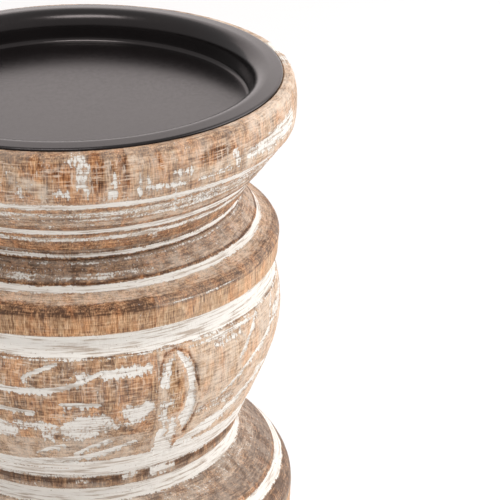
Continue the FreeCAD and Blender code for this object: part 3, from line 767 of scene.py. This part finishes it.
class Graph:
    """A material's node tree, with short calls for the nodes used here."""

    def __init__(self, name):
        self.material = bpy.data.materials.new(name)
        self.material.use_nodes = True
        self.tree = self.material.node_tree
        self.shader = self.tree.nodes["Principled BSDF"]

    def feed(self, socket, value):
        """Links an output to the socket, or sets the socket to a number or colour."""
        if isinstance(value, bpy.types.NodeSocket):
            self.tree.links.new(value, socket)
        else:
            socket.default_value = value

    def node(self, kind, inputs, **settings):
        made = self.tree.nodes.new(kind)
        for key, value in settings.items():
            setattr(made, key, value)
        for key, value in inputs.items():
            self.feed(made.inputs[key], value)
        return made

    def math(self, operation, first, second):
        return self.node("ShaderNodeMath", {0: first, 1: second}, operation=operation).outputs[0]

    def plus(self, first, *others):
        for other in others:
            first = self.math("ADD", first, other)
        return first

    def times(self, first, second):
        return self.math("MULTIPLY", first, second)

    def swing(self, noise, weight):
        """Noise as a push up or down, half the weight either way."""
        return self.times(self.math("SUBTRACT", noise, 0.5), weight)

    def vector(self, operation, first, second=(0, 0, 0)):
        return self.node("ShaderNodeVectorMath", {0: first, 1: second}, operation=operation).outputs["Vector"]

    def scaled(self, place, by):
        """A place times one number, or times one for each axis."""
        if isinstance(by, tuple):
            return self.vector("MULTIPLY", place, by)
        made = self.node("ShaderNodeVectorMath", {0: place, "Scale": by}, operation="SCALE")
        return made.outputs["Vector"]

    def noise(self, place, cells, detail, roughness, distortion=0.0):
        """Noise from 0 to 1 with this many cells for each unit of place, one number or one for each axis."""
        inputs = {"Vector": self.scaled(place, cells), "Scale": 1.0, "Detail": detail}
        inputs |= {"Roughness": roughness, "Distortion": distortion}
        return self.node("ShaderNodeTexNoise", inputs).outputs["Fac"]

    def band(self, value, low, high, to_low=0.0, to_high=1.0):
        """A smooth step from to_low, where the value is low, to to_high, where it is high."""
        inputs = {"Value": value, "From Min": low, "From Max": high, "To Min": to_low, "To Max": to_high}
        made = self.node("ShaderNodeMapRange", inputs, clamp=True, interpolation_type="SMOOTHSTEP")
        return made.outputs["Result"]

    def mix(self, factor, first, second, blend="MIX"):
        inputs = {"Factor": factor, 6: first, 7: second}
        made = self.node("ShaderNodeMix", inputs, data_type="RGBA", blend_type=blend, clamp_factor=True)
        return made.outputs[2]

    def attribute(self, name):
        return self.node("ShaderNodeAttribute", {}, attribute_name=name).outputs["Fac"]

    def place(self):
        """Object position in millimetres."""
        made = self.node("ShaderNodeTexCoord", {}).outputs["Object"]
        return self.scaled(made, 1 / MM)

    def bump(self, height, distance, strength):
        inputs = {"Height": height, "Distance": distance, "Strength": strength}
        return self.node("ShaderNodeBump", inputs).outputs["Normal"]

    def finish(self, **inputs):
        for key, value in inputs.items():
            self.feed(self.shader.inputs[key.replace("_", " ")], value)
        return self.material


def shade(red, green, blue):
    """A colour given the way it looks on screen, 0 to 255."""
    parts = (part / 255 for part in (red, green, blue))
    return *(part / 12.92 if part < 0.0404 else ((part + 0.055) / 1.055) ** 2.4 for part in parts), 1.0


# Bare wood from its darkest pores to its lightest faces.
BARE = ((82, 53, 34), (128, 91, 62), (172, 131, 95), (205, 168, 130), (230, 202, 170))


def wood_grain(g):
    """The wood's noises: fibres and pores run up it, turning marks and scratches run round it."""
    place = g.place()
    tone = g.attribute("tone")
    shift = g.node("ShaderNodeCombineXYZ", {"X": tone, "Y": tone, "Z": tone}).outputs[0]
    shifted = g.vector("ADD", place, g.scaled(shift, 9.0))
    outward = g.vector("NORMALIZE", g.scaled(place, (1, 1, 0)))
    rise = g.node("ShaderNodeCombineXYZ", {"Z": g.attribute("along")}).outputs[0]
    ring = g.vector("ADD", g.scaled(outward, RING), rise)
    return SimpleNamespace(
        # cells for each millimetre, detail and roughness
        fibres=g.noise(shifted, (0.9, 0.9, 0.07), 4.0, 0.62),
        pores=g.noise(shifted, (3.2, 3.2, 0.35), 3.0, 0.6),
        planks=g.noise(shifted, (0.3, 0.3, 0.1), 3.0, 0.6),
        blotches=g.noise(shifted, 0.1, 3.0, 0.6),
        fine=g.noise(place, 2.6, 3.0, 0.65),
        clumps=g.noise(shifted, (0.28, 0.28, 0.2), 3.0, 0.6),
        strokes=g.noise(shifted, (1.9, 1.9, 0.2), 2.0, 0.55),
        ticks=g.noise(shifted, (2.0, 2.0, 0.7), 2.0, 0.5),
        nicks=g.noise(shifted, (1.5, 1.5, 0.18), 3.0, 0.6),
        specks=g.noise(place, (0.9, 0.9, 1.5), 2.0, 0.6),
        turning=g.noise(ring, (0.1, 0.1, 1.9), 4.0, 0.62),
        scratches=g.noise(ring, (0.3, 0.3, 2.2), 3.0, 0.6),
    )


def bare_wood(g, grain, looks):
    """Brown wood, darker in its pores, where it is stained and where shade is painted, orange in patches."""
    light = g.plus(g.swing(grain.fibres, 1.1), 0.62)
    weights = {"pores": 1.6, "strokes": 0.8, "planks": 0.7, "blotches": 0.4, "turning": 0.8}
    for key, weight in weights.items():
        light = g.plus(light, g.swing(getattr(grain, key), weight))
    light = g.plus(light, g.times(g.swing(grain.scratches, 1.3), g.band(looks.pore, 0.2, 1.0, 1.0, 0.35)))
    light = g.math("SUBTRACT", light, g.times(looks.dark, 0.42))
    opened = g.times(g.band(grain.strokes, 0.58, 0.67), g.times(looks.pore, 0.4))
    ramp = g.node("ShaderNodeValToRGB", {"Fac": g.math("SUBTRACT", light, opened)})
    while len(ramp.color_ramp.elements) < len(BARE):
        ramp.color_ramp.elements.new(0.5)
    for index, colour in enumerate(BARE):
        element = ramp.color_ramp.elements[index]
        element.position = index / (len(BARE) - 1)
        element.color = shade(*colour)
    brown = ramp.outputs[0]
    orange = g.mix(1.0, brown, (1.08, 0.83, 0.64, 1), "MULTIPLY")
    patchy = g.plus(looks.warm, g.swing(grain.planks, 3.2), g.swing(grain.blotches, 1.6))
    return g.mix(g.band(patchy, 0.1, 1.3), brown, orange)


def film_over(g, grain, looks, bare):
    """A thin white film, held in the wood's pores and scratches and smeared over it."""
    lines = g.math("MAXIMUM", g.band(grain.scratches, 0.52, 0.62), g.band(grain.nicks, 0.54, 0.64))
    held = g.times(looks.hatch, g.band(grain.clumps, 0.38, 0.62, 0.25, 0.85))
    drawn = g.plus(g.times(grain.fine, 0.45), g.times(grain.scratches, 0.55), g.swing(grain.clumps, 0.9))
    smear = g.times(looks.haze, g.band(drawn, 0.32, 0.66, 0.35, 1.25))
    film = g.math("MAXIMUM", g.times(g.times(lines, held), 0.85), smear)
    return g.mix(film, bare, shade(238, 220, 202))


def paint_cover(g, grain, looks):
    """How near each point is to paint, and where opaque paint covers it, with ragged edges."""
    near = g.plus(looks.wash, g.swing(grain.ticks, 1.5), g.swing(grain.fine, 0.6))
    near = g.plus(near, g.swing(grain.turning, 1.0), g.swing(grain.clumps, 0.5))
    return near, g.band(near, 0.45, 0.69)


def paint_over(g, grain, near, cover, filmed):
    """White paint streaked round the stick and specked with brown, with a painted shadow along its edges."""
    # painted shadow: bare wood just outside the paint's edges is darkened towards brown
    rim = g.times(g.band(near, 0.26, 0.44), g.math("SUBTRACT", 1.0, cover))
    edge_shaded = g.mix(g.times(rim, 0.15), filmed, shade(104, 70, 46))
    chalk = g.mix(g.band(grain.turning, 0.33, 0.52), shade(196, 179, 164), shade(250, 245, 238))
    chalk = g.mix(g.times(g.band(grain.specks, 0.66, 0.72), 0.5), chalk, shade(150, 126, 106))
    return g.mix(g.times(cover, 0.96), edge_shaded, chalk)


def wood():
    """Brown wood with a white film and white paint where the looks at each point say."""
    g = Graph("whitewashed_wood")
    grain = wood_grain(g)
    looks = SimpleNamespace(**{key: g.attribute(key) for key in LOOKS})
    near, cover = paint_cover(g, grain, looks)
    filmed = film_over(g, grain, looks, bare_wood(g, grain, looks))
    colour = paint_over(g, grain, near, cover, filmed)
    cut = g.plus(g.times(grain.pores, 0.6), g.times(grain.turning, 0.5))
    raised = g.plus(g.times(cover, 0.8), g.times(grain.ticks, 0.4))
    normal = g.bump(g.plus(cut, raised), 0.00022, 0.8)
    rough = g.band(cover, 0.0, 1.0, 0.62, 0.85)
    return g.finish(Base_Color=colour, Roughness=rough, Normal=normal, Specular_IOR_Level=0.3)


def black_paint():
    """Satin black paint with a faint orange-peel skin."""
    g = Graph("satin_black")
    place = g.place()
    peel = g.noise(place, 1.1, 3.0, 0.55)
    cloud = g.noise(place, 0.08, 2.0, 0.5)
    colour = g.mix(g.band(cloud, 0.3, 0.7), shade(15, 12, 12), shade(20, 17, 17))
    rough = g.band(peel, 0.3, 0.7, 0.19, 0.25)
    normal = g.bump(peel, 0.00003, 0.25)
    tint = (1.0, 0.9, 0.9, 1)
    return g.finish(Base_Color=colour, Roughness=rough, Normal=normal, IOR=1.5, Specular_Tint=tint)


def zinc():
    """Zinc-plated steel: bright, faintly mottled and brushed."""
    g = Graph("zinc_plated_steel")
    place = g.place()
    spangle = g.noise(place, 0.7, 2.0, 0.5)
    brush = g.noise(place, (6.0, 0.5, 6.0), 3.0, 0.6)
    colour = g.mix(g.band(spangle, 0.35, 0.65), shade(170, 172, 176), shade(200, 201, 202))
    rough = g.band(brush, 0.3, 0.7, 0.22, 0.42)
    normal = g.bump(brush, 0.00003, 0.5)
    return g.finish(Base_Color=colour, Roughness=rough, Metallic=1.0, Normal=normal)


def felt():
    """Dark brown wool felt: matted fibres and a soft sheen."""
    g = Graph("wool_felt")
    place = g.place()
    matted = g.noise(place, 1.8, 6.0, 0.75, 1.5)
    lumps = g.noise(place, 0.15, 3.0, 0.6)
    colour = g.mix(g.band(matted, 0.3, 0.7), shade(62, 52, 44), shade(98, 84, 72))
    colour = g.mix(g.times(g.band(lumps, 0.3, 0.7), 0.3), colour, shade(74, 62, 52))
    normal = g.bump(matted, 0.0004, 0.9)
    return g.finish(Base_Color=colour, Roughness=0.95, Normal=normal, Sheen_Weight=0.4, Sheen_Roughness=0.6)


WOOD = wood()
BLACK = black_paint()
ZINC = zinc()
FELT = felt()

# ---------------- pan, rod and felt


def lathe(name, profile, segments, material):
    """A closed solid turned round Z from (radius, height) points that start and end on the axis."""
    profile = np.asarray(profile, float)
    angle = np.arange(segments) * 2 * math.pi / segments
    body = profile[1:-1]
    around = np.stack([np.cos(angle), np.sin(angle)], axis=-1)
    points = np.concatenate([
        body[:, None, :1] * around[None],
        np.repeat(body[:, None, 1:], segments, axis=1),
    ], axis=-1).reshape(-1, 3)
    tips = [[0, 0, profile[0, 1]], [0, 0, profile[-1, 1]]]
    number = np.arange(len(body) * segments).reshape(len(body), segments)
    after = np.roll(number, -1, axis=1)
    quads = np.stack([number[:-1], number[1:], after[1:], after[:-1]], axis=-1).reshape(-1, 4).tolist()
    first, last = len(points), len(points) + 1
    fans = [[first, a, b] for a, b in zip(number[0], after[0])]
    fans += [[last, b, a] for a, b in zip(number[-1], after[-1])]
    mesh = bpy.data.meshes.new(name)
    mesh.from_pydata(np.vstack([points, tips]) * MM, [], quads + fans)
    mesh.shade_smooth()
    mesh.set_sharp_from_angle(angle=math.radians(40))
    return placed(mesh, material)


def pan():
    """Pressed sheet pan: a flange that droops to its rim, round shoulder, upright wall and flat floor."""
    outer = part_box("candle_pan")[1].x / MM
    sheet = 0.8
    well = 47.9                  # radius of the upright wall
    floor = 8.0                  # depth of the floor
    corner = 1.5                 # radius between floor and wall
    shoulder = 4.6               # radius between wall and flange
    crown = 0.8                  # the flange's highest ring, above the lip
    rim = 0.4                    # width of the rounding at the rim
    hem = 1.0                    # width of the ring that rests in the rebate
    # (radius, depth, bulge), from the middle of the floor outwards and back underneath
    path = [
        (0, floor, 0),
        (well - corner, floor, 0),
        (well, floor - corner, -corner),
        (well, shoulder - crown, 0),
        (well + shoulder, -crown, shoulder),
        (outer - rim, -0.55, 0),
        (outer, -0.2, 0.5),
        (outer, 0.1, 0),
        (outer, REBATE, 0),
        (outer - hem, REBATE, 0),
        (outer - 1.5 * hem, sheet - crown, 0),
        (well + shoulder, sheet - crown, 0),
        (well + sheet, shoulder - crown, -(shoulder - sheet)),
        (well + sheet, floor - corner, 0),
        (well - corner, floor + sheet, corner + sheet),
        (0, floor + sheet, 0),
    ]
    points = [np.array([path[0][:2]], float)]
    for before, after in zip(path, path[1:]):
        length = math.dist(before[:2], after[:2])
        step = 0.25 if after[2] else max(0.5, length / 12)
        points.append(stretch(before[:2], after[:2], after[2], step))
    profile = np.vstack(points)
    profile[:, 1] = LIP - profile[:, 1]
    piece = lathe("candle_pan_skin", profile, 288, BLACK)
    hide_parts("candle_pan")
    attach(piece, "pan")


def threaded_rod():
    """M8 rod with its thread cut all the way along and chamfered ends."""
    low, high = (corner.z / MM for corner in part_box("tie_rod"))
    crest, root, pitch = 4.0, 3.4, 1.25
    end_radius = 3.2
    segments, per_turn = 32, 8
    count = round((high - low) / pitch * per_turn)
    height = np.linspace(low, high, count + 1)[:, None]
    angle = (np.arange(segments) * 2 * math.pi / segments)[None, :]
    phase = (height / pitch - angle / (2 * math.pi)) % 1
    # 0 along the root, 1 along the crest, a straight flank between
    flank = np.clip(np.abs(phase * 2 - 1) * 1.35 - 0.15, 0, 1)
    from_end = np.minimum(height - low, high - height)
    radius = np.minimum(root + (crest - root) * flank, end_radius + from_end)
    points = np.stack([radius * np.cos(angle), radius * np.sin(angle), height + 0 * angle], axis=-1)
    number = np.arange(radius.size).reshape(radius.shape)
    after = np.roll(number, -1, axis=1)
    quads = np.stack([number[:-1], after[:-1], after[1:], number[1:]], axis=-1).reshape(-1, 4).tolist()
    ends = [number[0, ::-1].tolist(), number[-1].tolist()]
    mesh = bpy.data.meshes.new("tie_rod_threaded")
    mesh.from_pydata(points.reshape(-1, 3) * MM, [], quads + ends)
    piece = placed(mesh, ZINC)
    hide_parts("tie_rod")
    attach(piece, "stand")


def felt_pad():
    """Felt disc with a cut edge that has softened."""
    _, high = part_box("foot_pad")
    radius, thick = high.x / MM, high.z / MM
    soft = 0.35
    across = np.linspace(0.1, 0.99, 24)
    profile = [(0, thick)]
    profile += [(radius * part, thick) for part in across]
    for angle in np.linspace(0.3, math.pi - 0.3, 9):
        profile.append((radius - soft + soft * math.sin(angle), thick / 2 + (thick / 2) * math.cos(angle)))
    profile += [(radius * part, 0.0) for part in across[::-1]]
    profile += [(0, 0.0)]
    piece = lathe("felt_pad", profile, 192, FELT)
    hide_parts("foot_pad")
    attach(piece, "stand")


for section in (CUP, UPPER, LOWER, BASE):
    for index in range(4):
        block(section, index)
pan()
threaded_rod()
felt_pad()
for node in ("upper_washer", "upper_nut", "lower_washer", "lower_nut"):
    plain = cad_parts[node].data
    plain.materials.clear()
    plain.materials.append(ZINC)

# ---------------- floor, light and camera


def studio():
    """A wide pale floor, a white surround and soft lights."""
    bpy.ops.mesh.primitive_plane_add(size=12)
    floor = bpy.context.object
    floor.name = "floor"
    g = Graph("pale_floor")
    pale = (0.95, 0.95, 0.95, 1)
    floor.data.materials.append(g.finish(Base_Color=pale, Roughness=0.9, Specular_IOR_Level=0.1))
    world = bpy.data.worlds.new("surround")
    world.use_nodes = True
    background = world.node_tree.nodes["Background"]
    background.inputs["Color"].default_value = (1, 1, 1, 1)
    background.inputs["Strength"].default_value = 0.56
    bpy.context.scene.world = world
    # name, place, width, height, watts, colour
    lamps = (
        ("overhead", (-0.09, -0.36, 1.18), 0.5, 0.28, 3.8, (1.0, 0.98, 0.96)),
        ("right", (1.2, 0.2, 0.7), 1.2, 1.2, 11.6, (1.0, 1.0, 1.0)),
        ("backdrop", (0.0, 1.7, 0.75), 3.0, 1.5, 12.5, (1.0, 0.88, 0.86)),
    )
    target = Vector((0, 0, 0.15))
    for name, where, wide, tall, watts, colour in lamps:
        data = bpy.data.lights.new(name, "AREA")
        data.shape = "RECTANGLE"
        data.size = wide
        data.size_y = tall
        data.energy = watts
        data.color = colour
        lamp = bpy.data.objects.new(name, data)
        lamp.location = where
        lamp.rotation_euler = (target - Vector(where)).to_track_quat("-Z", "Y").to_euler()
        bpy.context.scene.collection.objects.link(lamp)


def camera():
    """Looks along +Y and down on the cup, close enough to cut off the foot."""
    data = bpy.data.cameras.new("camera")
    data.lens = 149.7
    data.sensor_width = 36
    view = bpy.data.objects.new("camera", data)
    view.location = (0.0474, -0.5220, LIP * MM + 0.1885)
    view.rotation_euler = (math.radians(90 - 24.75), 0, 0)
    bpy.context.scene.collection.objects.link(view)
    bpy.context.scene.camera = view
    bpy.context.scene.view_settings.view_transform = "Standard"


studio()
camera()
